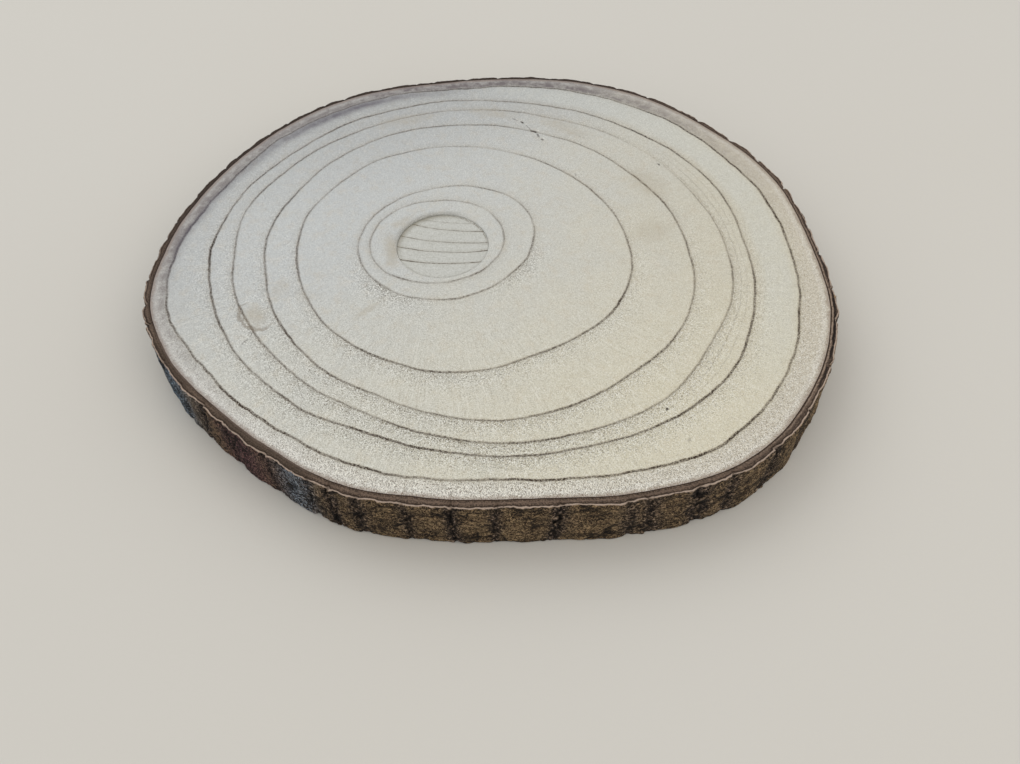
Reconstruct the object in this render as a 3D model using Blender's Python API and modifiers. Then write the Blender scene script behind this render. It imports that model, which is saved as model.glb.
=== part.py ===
# A round slice of pale wood with its bark on, and a plug set in the bored-out pith.
# It lies on its sawn lower face. Units are metres, +Z is up, and the origin is under the middle of the slice.
# Headings are measured from +X towards +Y, round the middle of the plug.
import math

import bpy
import numpy as np

MM = 0.001

# Driving dimensions
THICKNESS = 31.0 * MM
BORE_RADIUS = 25.2 * MM
FIT_GAP = 0.35 * MM
RIM_WEAR = 0.8 * MM
PLUG_RECESS = 1.4 * MM
PLUG_BEVEL = 0.6 * MM
BARK_THICKNESS_MEAN = 3.9 * MM
BARK_THICKNESS_SWING = 1.0 * MM
BARK_EDGE_WEAR = 0.9 * MM
BARK_LUMP_HEIGHT = 0.3 * MM
FURROW_DEPTH = 1.5 * MM
FURROW_WIDTH = 2.4 * MM
FURROW_LEAN = 4.0 * MM
GROWTH_LINE_WIDTH = 1.3 * MM
GROWTH_LINE_DEPTH = 0.35 * MM
PLUG_GRAIN_WIDTH = 0.9 * MM
PLUG_GRAIN_DEPTH = 0.35 * MM
PLUG_GRAIN_BEND = 4.4

# Each grain line of the plug: its distance from the middle in millimetres, and its slope
PLUG_GRAIN = ((19.2, -0.15), (13.2, -0.19), (3.0, -0.14), (-4.8, -0.085), (-13.8, -0.05))

# Steps round each turned piece
WOOD_STEPS = 72
BARK_STEPS = 400
PLUG_STEPS = 48

# Radii of the growth lines from the middle of the plug, in millimetres, at equal headings from +X
GROWTH_LINES = (
    (33.7, 35.7, 36.7, 36.3, 38.3, 40.0, 39.8, 36.9, 31.8, 29.3, 29.1, 30.8),
    (49.7, 54.0, 52.1, 48.3, 46.3, 46.2, 46.2, 44.6, 42.9, 41.7, 42.1, 44.4),
    (101.8, 98.3, 94.1, 91.0, 88.1, 86.7, 85.2, 84.3, 83.8, 81.5, 81.0, 81.1,
     79.7, 79.4, 80.2, 82.0, 84.1, 86.4, 90.5, 92.5, 93.9, 98.3, 103.4, 104.6),
    (133.4, 128.5, 122.0, 117.6, 112.3, 108.9, 106.0, 104.1, 101.7, 99.1, 97.0, 97.4,
     97.5, 96.6, 98.8, 101.2, 104.8, 108.4, 116.2, 124.9, 129.7, 133.6, 138.6, 138.6),
    (154.3, 148.1, 142.3, 136.5, 128.9, 124.9, 120.8, 117.4, 115.4, 114.7, 115.0, 116.7,
     114.0, 113.8, 113.1, 113.3, 116.2, 120.0, 128.7, 138.4, 146.6, 155.3, 155.8, 158.5),
    (165.6, 162.8, 155.8, 148.1, 140.8, 134.5, 131.0, 127.8, 125.8, 123.4, 124.2, 125.7,
     126.8, 125.8, 126.3, 126.6, 128.9, 129.9, 137.2, 145.7, 155.8, 166.5, 172.3, 169.9),
    (188.9, 184.2, 177.1, 169.4, 160.7, 150.5, 143.7, 142.3, 141.3, 139.6, 138.4, 139.4,
     145.7, 149.1, 145.2, 143.3, 143.7, 149.1, 152.2, 159.7, 174.2, 191.6, 195.0, 193.5),
)

# Radii of the wood's outer edge, where the bark begins
WOOD_EDGE = (200.9, 197.4, 188.8, 181.1, 171.0, 159.1, 151.1, 149.5, 148.9, 146.8, 145.6, 147.6,
             151.6, 157.2, 155.2, 152.4, 153.8, 160.0, 162.7, 169.5, 186.4, 204.3, 209.8, 208.2)

# Headings in degrees of the furrows that show between the bark's plates, and how many lie round the rest
SEEN_FURROWS = (217.0, 223.2, 231.0, 241.0, 249.3, 253.5, 258.1, 265.8, 273.0, 279.5, 288.3,
                298.3, 301.0, 307.3, 311.5, 318.4, 326.0)
OTHER_FURROWS = 31
FURROW_SEED = 5


# A closed curve through radii at equal headings, read at any heading
def radius_at(radii, heading):
    values = np.array(radii) * MM
    count = len(values)
    place = heading / math.tau * count
    first = np.floor(place).astype(int)
    part = place - first
    before, start, end, after = (values[(first + shift) % count] for shift in (-1, 0, 1, 2))
    slope = end - before
    bend = 2 * before - 5 * start + 4 * end - after
    turn = 3 * (start - end) + after - before
    return start + 0.5 * part * (slope + part * (bend + part * turn))


# The circles that the growth lines and the outer edge are turned as, before they grow out of round
def mean_radii():
    return [float(np.mean(line)) * MM for line in (*GROWTH_LINES, WOOD_EDGE)]


# How far the bark stands out from the wood's edge before its plates are raised
def bark_thickness(heading):
    return BARK_THICKNESS_MEAN - BARK_THICKNESS_SWING * np.sin(heading)


# Heading, depth, half width and lean of every furrow, uneven as on a real trunk
def furrows():
    draw = np.random.default_rng(FURROW_SEED)
    gap = (360.0 - SEEN_FURROWS[-1] + SEEN_FURROWS[0]) / (OTHER_FURROWS + 1)
    jitter = draw.uniform(-0.3, 0.3, OTHER_FURROWS)
    others = SEEN_FURROWS[-1] + gap * (np.arange(OTHER_FURROWS) + 1 + jitter)
    headings = np.radians(np.append(SEEN_FURROWS, others)) % math.tau
    depths = FURROW_DEPTH * draw.uniform(0.45, 1.0, len(headings))
    widths = FURROW_WIDTH * draw.uniform(0.6, 1.0, len(headings))
    leans = FURROW_LEAN * draw.uniform(-1.0, 1.0, len(headings))
    return np.stack([headings, depths, widths, leans], axis=1)


# How far the bark's face lies in or out, with a furrow between each two plates
def bark_relief(heading, height):
    reach = mean_radii()[-1]
    lumps = np.sin(37 * heading + 170 * height) + 0.7 * np.sin(83 * heading - 240 * height)
    relief = BARK_LUMP_HEIGHT * lumps
    for place, depth, width, lean in furrows():
        turn = (heading - place + math.pi) % math.tau - math.pi
        across = turn * reach - lean * (height / THICKNESS - 0.5)
        relief -= depth * np.exp(-((across / width) ** 2))
    return relief


def material(name, colour, roughness):
    made = bpy.data.materials.new(name)
    made.use_nodes = True
    shader = made.node_tree.nodes["Principled BSDF"]
    shader.inputs["Base Color"].default_value = (*colour, 1.0)
    shader.inputs["Roughness"].default_value = roughness
    shader.inputs["Metallic"].default_value = 0.0
    made.diffuse_color = (*colour, 1.0)
    return made


# A profile of (radius, height) points turned once round the Z axis
def turned(name, profile, closed, steps, collection):
    points = [(radius, 0.0, height) for radius, height in profile]
    count = len(points)
    edges = [(index, index + 1) for index in range(count - 1)]
    if closed:
        edges.append((count - 1, 0))
    mesh = bpy.data.meshes.new(name)
    mesh.from_pydata(points, edges, [])
    piece = bpy.data.objects.new(name, mesh)
    collection.objects.link(piece)
    screw = piece.modifiers.new("Turn", "SCREW")
    screw.steps = steps
    screw.render_steps = steps
    screw.use_merge_vertices = True
    screw.merge_threshold = 0.01 * MM
    return piece


# Puts the evaluated mesh in place of the modifiers, so that its points can be moved
def applied(piece):
    depsgraph = bpy.context.evaluated_depsgraph_get()
    mesh = bpy.data.meshes.new_from_object(piece.evaluated_get(depsgraph))
    piece.modifiers.clear()
    piece.data = mesh
    mesh.name = piece.name


def read_points(piece):
    points = np.empty(len(piece.data.vertices) * 3)
    piece.data.vertices.foreach_get("co", points)
    return points.reshape(-1, 3)


def place_points(piece, points):
    piece.data.vertices.foreach_set("co", points.ravel())
    piece.data.update()


# Moves a turned ring's points from the mean circles out to the real growth lines and edge
def grow_out_of_round(piece):
    points = read_points(piece)
    heading = np.arctan2(points[:, 1], points[:, 0]) % math.tau
    radius = np.hypot(points[:, 0], points[:, 1])
    lines = (*GROWTH_LINES, WOOD_EDGE)
    true_radii = np.array([radius_at(line, heading) for line in lines])
    groove = 0.5 * GROWTH_LINE_WIDTH * np.array([-1.0, 0.0, 1.0])
    rim = [BORE_RADIUS, BORE_RADIUS + RIM_WEAR]
    turned_at = np.append(rim, np.add.outer(mean_radii(), groove))
    grown = np.empty_like(radius)
    for index in range(len(radius)):
        grown_to = np.append(rim, np.add.outer(true_radii[:, index], groove))
        grown[index] = np.interp(radius[index], turned_at, grown_to)
    points[:, 0] = grown * np.cos(heading)
    points[:, 1] = grown * np.sin(heading)
    place_points(piece, points)


# One sawn face of the wood, from the bore out to the edge, with a shallow groove at each growth line
def sawn_face(level, inward):
    half = 0.5 * GROWTH_LINE_WIDTH
    face = [(BORE_RADIUS, level + inward * RIM_WEAR), (BORE_RADIUS + RIM_WEAR, level)]
    for mean in mean_radii()[:-1]:
        face += [(mean - half, level), (mean, level + inward * GROWTH_LINE_DEPTH), (mean + half, level)]
    face.append((mean_radii()[-1], level))
    return face


def make_wood(collection):
    profile = sawn_face(THICKNESS, -1.0) + sawn_face(0.0, 1.0)[::-1]
    wood = turned("wood", profile, True, WOOD_STEPS, collection)
    applied(wood)
    grow_out_of_round(wood)
    wood.data.materials.append(material("sawn pale wood", (0.62, 0.56, 0.46), 0.7))
    return wood


# The bark is turned as a thin ring, then fitted round the wood and given its plates
def make_bark(collection):
    inner = mean_radii()[-1]
    outer = inner + BARK_THICKNESS_MEAN
    edge = outer - BARK_EDGE_WEAR
    profile = [(inner, THICKNESS), (edge, THICKNESS), (outer, THICKNESS - BARK_EDGE_WEAR)]
    profile += [(outer, THICKNESS * share) for share in (0.74, 0.5, 0.26)]
    profile += [(outer, BARK_EDGE_WEAR), (edge, 0.0), (inner, 0.0)]
    bark = turned("bark", profile, True, BARK_STEPS, collection)
    applied(bark)
    points = read_points(bark)
    heading = np.arctan2(points[:, 1], points[:, 0]) % math.tau
    radius = np.hypot(points[:, 0], points[:, 1])
    share = (radius - inner) / BARK_THICKNESS_MEAN
    stands_out = bark_thickness(heading) + bark_relief(heading, points[:, 2])
    grown = radius_at(WOOD_EDGE, heading) + FIT_GAP + share * (stands_out - FIT_GAP)
    points[:, 0] = grown * np.cos(heading)
    points[:, 1] = grown * np.sin(heading)
    place_points(bark, points)
    bark.data.materials.append(material("brown bark", (0.11, 0.085, 0.065), 0.9))
    return bark


# A bowed bar that cuts one grain line into the top of the plug
def grain_cutter(place, slope, top, collection):
    bpy.ops.mesh.primitive_grid_add(x_subdivisions=12, y_subdivisions=1, size=2 * BORE_RADIUS + 4 * MM)
    cutter = bpy.context.object
    cutter.name = f"grain_cutter_{place:+.1f}"
    for home in list(cutter.users_collection):
        home.objects.unlink(cutter)
    collection.objects.link(cutter)
    points = read_points(cutter)
    across = points[:, 0]
    side = np.sign(points[:, 1]) * 0.5 * PLUG_GRAIN_WIDTH
    points[:, 1] = place * MM + slope * across + PLUG_GRAIN_BEND * across**2 + side
    points[:, 2] = top - PLUG_GRAIN_DEPTH
    place_points(cutter, points)
    solid = cutter.modifiers.new("Height", "SOLIDIFY")
    solid.thickness = 2 * PLUG_GRAIN_DEPTH + 1 * MM
    solid.offset = 1.0
    cutter.hide_render = True
    cutter.display_type = "WIRE"


def make_plug(collection, cutters):
    radius = BORE_RADIUS - FIT_GAP
    top = THICKNESS - PLUG_RECESS
    profile = [(0.0, top), (radius - PLUG_BEVEL, top), (radius, top - PLUG_BEVEL)]
    profile += [(radius, PLUG_BEVEL), (radius - PLUG_BEVEL, 0.0), (0.0, 0.0)]
    plug = turned("plug", profile, False, PLUG_STEPS, collection)
    for place, slope in PLUG_GRAIN:
        grain_cutter(place, slope, top, cutters)
    cut = plug.modifiers.new("Grain lines", "BOOLEAN")
    cut.operation = "DIFFERENCE"
    cut.solver = "EXACT"
    cut.operand_type = "COLLECTION"
    cut.collection = cutters
    plug.data.materials.append(material("greyer plug wood", (0.52, 0.48, 0.40), 0.75))
    return plug


# Moves every piece so that the middle of the outline is over the origin
def centre(bark, pieces):
    points = read_points(bark)
    middle = 0.5 * (points.min(axis=0) + points.max(axis=0))
    for piece in pieces:
        piece.location = (-middle[0], -middle[1], 0.0)


def main():
    for old in list(bpy.data.objects):
        bpy.data.objects.remove(old, do_unlink=True)
    parts = bpy.data.collections.new("wood_slice")
    cutters = bpy.data.collections.new("cutters")
    bpy.context.scene.collection.children.link(parts)
    bpy.context.scene.collection.children.link(cutters)
    wood = make_wood(parts)
    bark = make_bark(parts)
    plug = make_plug(parts, cutters)
    centre(bark, [wood, bark, plug, *cutters.objects])
    for piece in (wood, bark, plug):
        piece.data.shade_smooth()
        piece.data.set_sharp_from_angle(angle=math.radians(35))


main()
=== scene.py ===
# The looks of a wood slice: pale sawn wood with its growth lines, rough bark, and a plug over the pith.
# Sizes are in metres unless a name ends in Mm; headings run anticlockwise from +X round the pith.
import math

import bpy
import numpy as np
from mathutils import Matrix, Vector, noise


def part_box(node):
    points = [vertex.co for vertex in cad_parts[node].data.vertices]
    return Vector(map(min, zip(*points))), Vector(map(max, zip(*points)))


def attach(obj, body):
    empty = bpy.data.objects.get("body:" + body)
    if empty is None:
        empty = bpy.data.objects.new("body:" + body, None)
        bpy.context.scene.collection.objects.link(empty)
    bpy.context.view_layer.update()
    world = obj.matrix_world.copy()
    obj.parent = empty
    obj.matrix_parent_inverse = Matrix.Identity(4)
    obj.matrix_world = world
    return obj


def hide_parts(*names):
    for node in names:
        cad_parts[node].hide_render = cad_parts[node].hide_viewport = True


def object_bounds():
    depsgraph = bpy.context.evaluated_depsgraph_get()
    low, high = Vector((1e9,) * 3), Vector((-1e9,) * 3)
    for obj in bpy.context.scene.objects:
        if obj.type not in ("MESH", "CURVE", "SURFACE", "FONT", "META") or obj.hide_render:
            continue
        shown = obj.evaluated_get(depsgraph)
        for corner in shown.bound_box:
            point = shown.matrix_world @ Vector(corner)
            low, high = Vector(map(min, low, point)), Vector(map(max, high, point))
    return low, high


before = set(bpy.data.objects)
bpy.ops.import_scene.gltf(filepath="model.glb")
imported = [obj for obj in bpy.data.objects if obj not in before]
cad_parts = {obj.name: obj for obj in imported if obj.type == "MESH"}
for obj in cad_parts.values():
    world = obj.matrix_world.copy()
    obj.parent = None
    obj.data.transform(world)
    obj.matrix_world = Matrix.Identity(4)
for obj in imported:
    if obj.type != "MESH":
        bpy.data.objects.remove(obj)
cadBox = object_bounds()
mm = 0.001
mergeDistance = 0.002 * mm

# The round that both the wood and the bark follow, the same as the part's source
sliceShape = {
    "thickness": 31.0 * mm,
    "boreRadius": 25.2 * mm,
    "rimWear": 0.8 * mm,
    "rimSoftness": 2.2 * mm,
    "rimDrop": 1.0 * mm,
    "lineWidth": 1.3 * mm,
    # radii in millimetres at equal headings from +X
    "growthLines": (
        (33.7, 34.7, 35.7, 36.4, 36.7, 36.5, 36.3, 36.9, 38.3, 39.4, 40.0, 40.2,
         39.8, 38.8, 36.9, 34.3, 31.8, 30.3, 29.3, 28.8, 29.1, 29.9, 30.8, 32.2),
        (49.7, 52.3, 54.0, 53.9, 52.1, 50.4, 48.3, 46.7, 46.3, 46.1, 46.2, 46.3,
         46.2, 45.8, 44.6, 43.6, 42.9, 41.9, 41.7, 41.9, 42.1, 42.9, 44.4, 47.3),
        (101.8, 98.3, 94.1, 91.0, 88.1, 86.7, 85.2, 84.3, 83.8, 81.5, 81.0, 81.1,
         79.7, 79.4, 80.2, 82.0, 84.1, 86.4, 90.5, 92.5, 93.9, 98.3, 103.4, 104.6),
        (133.4, 128.5, 122.0, 117.6, 112.3, 108.9, 106.0, 104.1, 101.7, 99.1, 97.0, 97.4,
         97.5, 96.6, 98.8, 101.2, 104.8, 108.4, 116.2, 124.9, 129.7, 133.6, 138.6, 138.6),
        (154.3, 148.1, 142.3, 136.5, 128.9, 124.9, 120.8, 117.4, 115.4, 114.7, 115.0, 116.7,
         114.0, 113.8, 113.1, 113.3, 116.2, 120.0, 128.7, 138.4, 146.6, 155.3, 155.8, 158.5),
        (165.6, 162.8, 155.8, 148.1, 140.8, 134.5, 131.0, 127.8, 125.8, 123.4, 124.2, 125.7,
         126.8, 125.8, 126.3, 126.6, 128.9, 129.9, 137.2, 145.7, 155.8, 166.5, 172.3, 169.9),
        (188.9, 184.2, 177.1, 169.4, 160.7, 150.5, 143.7, 142.3, 141.3, 139.6, 138.4, 139.4,
         145.7, 149.1, 145.2, 143.3, 143.7, 149.1, 152.2, 159.7, 174.2, 191.6, 195.0, 193.5),
    ),
    "woodEdge": (200.9, 197.4, 188.8, 181.1, 171.0, 159.1, 151.1, 149.5, 148.9, 146.8, 145.6, 147.6,
                 151.6, 157.2, 155.2, 152.4, 153.8, 160.0, 162.7, 169.5, 186.4, 204.3, 209.8, 208.2),
}

lowCorner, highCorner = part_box("plug")
pith = 0.5 * (lowCorner + highCorner)
pith.z = 0.0


# A closed curve through radii in millimetres, read at any heading
def radiusAt(radii, heading):
    values = np.array(radii) * mm
    count = len(values)
    place = heading / math.tau * count
    first = np.floor(place).astype(int)
    part = place - first
    before, start, end, after = (values[(first + shift) % count] for shift in (-1, 0, 1, 2))
    bend = 2 * before - 5 * start + 4 * end - after
    turn = 3 * (start - end) + after - before
    return start + 0.5 * part * (end - before + part * (bend + part * turn))


def meanRadii():
    return np.array([np.mean(line) * mm for line in (*sliceShape["growthLines"], sliceShape["woodEdge"])])


# The small waves in a growth line or edge, each with its own
def waves(index, heading, size):
    draw = np.random.default_rng(40 + index)
    total = np.zeros_like(heading)
    for turns in (11, 17, 29, 43, 67, 89, 113):
        total += draw.uniform(0.4, 1.0) * turns**-0.75 * np.sin(turns * heading + draw.uniform(0, math.tau))
    return size * total


# The wood's edge, which the bark is fitted to
def edgeAt(heading):
    return radiusAt(sliceShape["woodEdge"], heading) + waves(7, heading, 1.1 * mm)


def clamped(values):
    return np.clip(values, 0, 1)


# 1 at a heading in degrees, falling smoothly to 0 over the given reach
def nearHeading(heading, middle, reach):
    near = clamped(1 - np.abs((np.degrees(heading) - middle + 180) % 360 - 180) / reach)
    return near**2 * (3 - 2 * near)


def deselectAll():
    for item in bpy.context.selected_objects:
        item.select_set(False)


def readPoints(piece):
    points = np.empty(len(piece.data.vertices) * 3)
    piece.data.vertices.foreach_get("co", points)
    return points.reshape(-1, 3)


def writePoints(piece, points):
    piece.data.vertices.foreach_set("co", np.ascontiguousarray(points, dtype=np.float32).ravel())
    piece.data.update()


# The visual stays inside the CAD model's box
def insideBox(points):
    return np.clip(points, np.array(cadBox[0]), np.array(cadBox[1]))


# Numbers or vectors painted on every point, for the materials to read by name
def paintPoints(piece, **layers):
    for name, values in layers.items():
        kind, field = ("FLOAT", "value") if values.ndim == 1 else ("FLOAT_VECTOR", "vector")
        layer = piece.data.attributes.new(name, kind, "POINT")
        layer.data.foreach_set(field, values.astype(np.float32).ravel())


# A section of (radius, height) points turned once round the pith
def turnedRing(name, section, steps):
    deselectAll()
    bpy.ops.mesh.primitive_circle_add(vertices=len(section), radius=1.0, fill_type="NOTHING")
    piece = bpy.context.object
    piece.name = name
    piece.data.name = name
    writePoints(piece, np.array([(radius, 0.0, height) for radius, height in section]))
    bpy.ops.object.modifier_add(type="SCREW")
    screw = piece.modifiers[0]
    screw.steps = steps
    screw.render_steps = steps
    screw.use_merge_vertices = True
    screw.merge_threshold = mergeDistance
    bpy.ops.object.modifier_apply(modifier=screw.name)
    bpy.ops.object.mode_set(mode="EDIT")
    bpy.ops.mesh.select_all(action="SELECT")
    bpy.ops.mesh.remove_doubles(threshold=mergeDistance)
    bpy.ops.mesh.normals_make_consistent(inside=False)
    bpy.ops.object.mode_set(mode="OBJECT")
    return piece


def headingAndRadius(points):
    return np.arctan2(points[:, 1], points[:, 0]) % math.tau, np.hypot(points[:, 0], points[:, 1])


# Points moved to their headings and distances from the pith, their heights kept
def placeRound(points, heading, radius):
    points[:, 0] = radius * np.cos(heading) + pith.x
    points[:, 1] = radius * np.sin(heading) + pith.y


# Smooth noise from -1 to 1 at every point, one unit per feature
def noiseAt(points):
    return np.array([noise.noise(Vector(point)) for point in points])


# Cells one unit across: the distance to the nearest middle, and 1 in the crack between two cells
def cellsAt(points, crackWidth):
    found = np.array([noise.voronoi(Vector(point))[0][:2] for point in points])
    return found[:, 0], np.exp(-(((found[:, 1] - found[:, 0]) / crackWidth) ** 2))


def finish(piece, node, smoothAngle=40):
    deselectAll()
    piece.select_set(True)
    bpy.context.view_layer.objects.active = piece
    bpy.ops.object.shade_smooth_by_angle(angle=math.radians(smoothAngle))
    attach(piece, "root")
    if node:
        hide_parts(node)
    piece.data.calc_loop_triangles()
    print(f"{piece.name} done: {len(piece.data.loop_triangles)} triangles")


# One socket in a material, so that shader maths reads as maths
class Wire:
    def __init__(self, paint, socket):
        self.paint = paint
        self.socket = socket

    def __add__(self, other):
        return self.paint.maths("ADD", self, other)

    def __radd__(self, other):
        return self.paint.maths("ADD", other, self)

    def __sub__(self, other):
        return self.paint.maths("SUBTRACT", self, other)

    def __rsub__(self, other):
        return self.paint.maths("SUBTRACT", other, self)

    def __mul__(self, other):
        return self.paint.maths("MULTIPLY", self, other)

    def __rmul__(self, other):
        return self.paint.maths("MULTIPLY", other, self)

    def __abs__(self):
        return self.paint.maths("ABSOLUTE", self)


# A material and the few kinds of node that this object's materials are made of
class Paint:
    def __init__(self, name, colours, roughness, specular):
        self.colours = colours
        self.material = bpy.data.materials.new(name)
        self.material.use_nodes = True
        self.tree = self.material.node_tree
        self.shader = self.tree.nodes["Principled BSDF"]
        self.shader.inputs["Roughness"].default_value = roughness
        self.shader.inputs["Specular IOR Level"].default_value = specular

    def join(self, socket, value):
        if isinstance(value, Wire):
            self.tree.links.new(value.socket, socket)
        else:
            socket.default_value = value

    # Any node, from its type, its settings and the values or wires of its sockets
    def node(self, kind, settings, sockets, output=0):
        made = self.tree.nodes.new(kind)
        for name, value in settings.items():
            setattr(made, name, value)
        for name, value in sockets.items():
            self.join(made.inputs[name], value)
        return Wire(self, made.outputs[output])

    def maths(self, operation, first, second=0.0):
        return self.node("ShaderNodeMath", {"operation": operation}, {0: first, 1: second})

    def vector(self, operation, first, second=(0.0, 0.0, 0.0), output=0):
        return self.node("ShaderNodeVectorMath", {"operation": operation}, {0: first, 1: second}, output)

    def scaled(self, vector, factor):
        return self.node("ShaderNodeVectorMath", {"operation": "SCALE"}, {0: vector, 3: factor})

    def joined(self, x, y, z):
        return self.node("ShaderNodeCombineXYZ", {}, {0: x, 1: y, 2: z})

    # From 0 at the first value to 1 at the second, smoothly
    def step(self, value, start, end):
        smooth = {"interpolation_type": "SMOOTHSTEP"}
        return self.node("ShaderNodeMapRange", smooth, {0: value, 1: start, 2: end})

    def mix(self, factor, under, over):
        settings = {"data_type": "RGBA", "clamp_factor": True}
        return self.node("ShaderNodeMix", settings, {0: factor, 6: under, 7: over}, 2)

    # One of the piece's own colours
    def own(self, name):
        return screenColour(*self.colours[name])

    # A colour with some of one of the piece's own laid over it
    def tint(self, under, share, name):
        return self.mix(share, under, self.own(name))

    # One number of a vector: 0 for x, 1 for y
    def axis(self, vector, index):
        return self.node("ShaderNodeSeparateXYZ", {}, {0: vector}, index)

    def noise(self, place, scale, detail=2.0, roughness=0.5):
        sockets = {"Vector": place, "Scale": scale, "Detail": detail, "Roughness": roughness}
        return self.node("ShaderNodeTexNoise", {}, sockets)

    def cells(self, place, scale, feature="F1", output=0):
        sockets = {"Vector": place, "Scale": scale}
        return self.node("ShaderNodeTexVoronoi", {"feature": feature}, sockets, output)

    # The same place, pushed about by noise of a given scale and reach
    def shaken(self, place, scale, reach):
        push = self.node("ShaderNodeTexNoise", {}, {"Vector": place, "Scale": scale, "Detail": 3.0}, 1)
        push = self.vector("SUBTRACT", push, (0.5, 0.5, 0.5))
        return self.vector("ADD", place, self.scaled(push, reach))

    def painted(self, name, output=2):
        return self.node("ShaderNodeAttribute", {"attribute_name": name}, {}, output)

    # Object coordinates in millimetres from the pith
    def placeMm(self):
        place = self.node("ShaderNodeTexCoord", {}, {}, 3)
        return self.scaled(self.vector("SUBTRACT", place, tuple(pith)), 1 / mm)

    def bump(self, height, distanceMm):
        sockets = {"Strength": 1.0, "Distance": distanceMm * mm, "Height": height}
        return self.node("ShaderNodeBump", {}, sockets)

    def give(self, piece, colour, roughness, normal):
        self.join(self.shader.inputs["Base Color"], colour)
        self.join(self.shader.inputs["Roughness"], roughness)
        self.join(self.shader.inputs["Normal"], normal)
        piece.data.materials.clear()
        piece.data.materials.append(self.material)


# A screen colour, 0 to 255, as the linear colour that a shader takes
def screenColour(red, green, blue):
    linear = [(value / 255 / 12.92 if value < 10.3 else ((value / 255 + 0.055) / 1.055) ** 2.4)
              for value in (red, green, blue)]
    return (*linear, 1.0)


# Camera at the height, distance and tilt of the picture
cameraPlace = {
    "fromPith": Vector((35.78, -388.36, 396.5)) * mm,
    "below": 51.493,  # degrees below the horizon
    "roll": -1.0033,
    "lens": 33.88,
}


def addCamera():
    lens = bpy.data.cameras.new("camera")
    lens.sensor_fit = "HORIZONTAL"
    lens.sensor_width = 36.0
    lens.lens = cameraPlace["lens"]
    lens.clip_start = 0.01
    lens.clip_end = 20.0
    camera = bpy.data.objects.new("camera", lens)
    bpy.context.scene.collection.objects.link(camera)
    tilt = Matrix.Rotation(math.radians(90 - cameraPlace["below"]), 4, "X")
    roll = Matrix.Rotation(math.radians(cameraPlace["roll"]), 4, "Z")
    camera.matrix_world = Matrix.Translation(pith + cameraPlace["fromPith"]) @ tilt @ roll
    bpy.context.scene.camera = camera
    print("camera placed")


addCamera()

# The wood: turned at mean radii, then grown out to its real lines
woodLook = {
    "steps": 600,
    "spacing": 2.5 * mm,
    "lineStationsMm": (-1.6, -0.9, -0.45, -0.2, 0.0, 0.2, 0.45, 0.9, 1.6),  # either side of a line
    "lineDepth": 0.28 * mm,
    "lineReach": 0.4 * mm,
    # how dark each growth line is, from the pith outwards
    "lineTones": (0.5, 0.58, 0.75, 0.72, 0.7, 0.82, 0.95),
    # how much each line's torn fibres count
    "fuzzShares": (0.0, 1.0, 0.8, 0.85, 1.0, 0.9, 0.3),
    "lineWavesMm": (0.7, 0.8, 1.0, 1.4, 1.6, 1.9, 3.0),
    "clearOfLine": 2.2 * mm,
    "rimTurns": (0, 18, 36, 54, 72),  # degrees round the bore's soft rim
    "underStations": 22,
    "underStep": 0.9 * mm,
    "paintReachMm": 30,
    "lastBandMm": 2.5,
    # heading and reach in degrees of the sides that differ
    "nearSide": (262, 120),
    "frontSide": (277, 62),
    # which line's tone changes, by how much, and the heading and reach of the change
    "toneChanges": ((3, 0.18, 205, 50), (4, -0.4, 30, 90), (5, 0.1, 190, 45), (2, -0.25, 90, 100)),
    # torn fibres: the near side, and patches outside the second line by how much, heading and reach
    "fuzzSide": (268, 125),
    "fuzzPatches": ((1.0, 228, 48), (0.8, 335, 35)),
    "fuzzReachMm": 9.0,
    # stains along the last line: how strong, how far inside it, half width, heading and reach
    "lineStains": ((1.0, 3.0, 3.4, 119, 42), (0.4, 1.5, 2.5, 160, 40), (0.7, -0.6, 1.5, 174, 30)),
    # tints outside the last line: how strong, heading and reach
    "outerTints": ((0.8, 170, 70), (1.2, 80, 85)),
    "colours": {
        "coolLitWood": (186, 187, 185), "warmLitWood": (202, 194, 172), "warmPatch": (188, 170, 142),
        "paleBand": (220, 214, 203), "farShade": (110, 108, 108), "coolPatch": (204, 207, 202),
        "paintedFrontLight": (214, 204, 172), "rightShade": (148, 136, 114), "paleEdge": (226, 222, 216),
        "warmBand": (170, 152, 130), "boreShade": (116, 110, 94), "earlyWood": (150, 134, 106),
        "paleRay": (232, 227, 214), "darkRay": (150, 137, 114), "poreRow": (138, 122, 98),
        "poorYear": (120, 106, 84), "tornTip": (255, 253, 245), "pore": (80, 66, 47),
        "paleFibre": (252, 246, 232), "darkFibre": (98, 80, 58), "linePore": (92, 76, 54),
        "lineBlur": (134, 114, 86), "brownLine": (54, 39, 25), "greyLine": (50, 47, 46),
        "stainPatch": (168, 155, 132), "stainRim": (124, 110, 92), "violetStain": (102, 97, 103),
        "outerTint": (108, 99, 99), "brownedEdge": (126, 102, 88), "crack": (58, 46, 36),
        "fleck": (232, 228, 216),
    },
}


# Turned radii of the wood's face from the bore to the edge, closer together at each line
def faceStations():
    lines = meanRadii()
    start = sliceShape["boreRadius"] + sliceShape["rimSoftness"]
    radii = np.arange(start + woodLook["spacing"], lines[-1] - 1.2 * mm, woodLook["spacing"])
    clear = np.abs(radii[:, None] - lines[None, :-1]).min(axis=1) > woodLook["clearOfLine"]
    close = np.add.outer(lines[:-1], np.array(woodLook["lineStationsMm"]) * mm).ravel()
    return np.sort(np.concatenate([[start], radii[clear], close, [lines[-1] - 0.5 * mm, lines[-1]]]))


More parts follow.
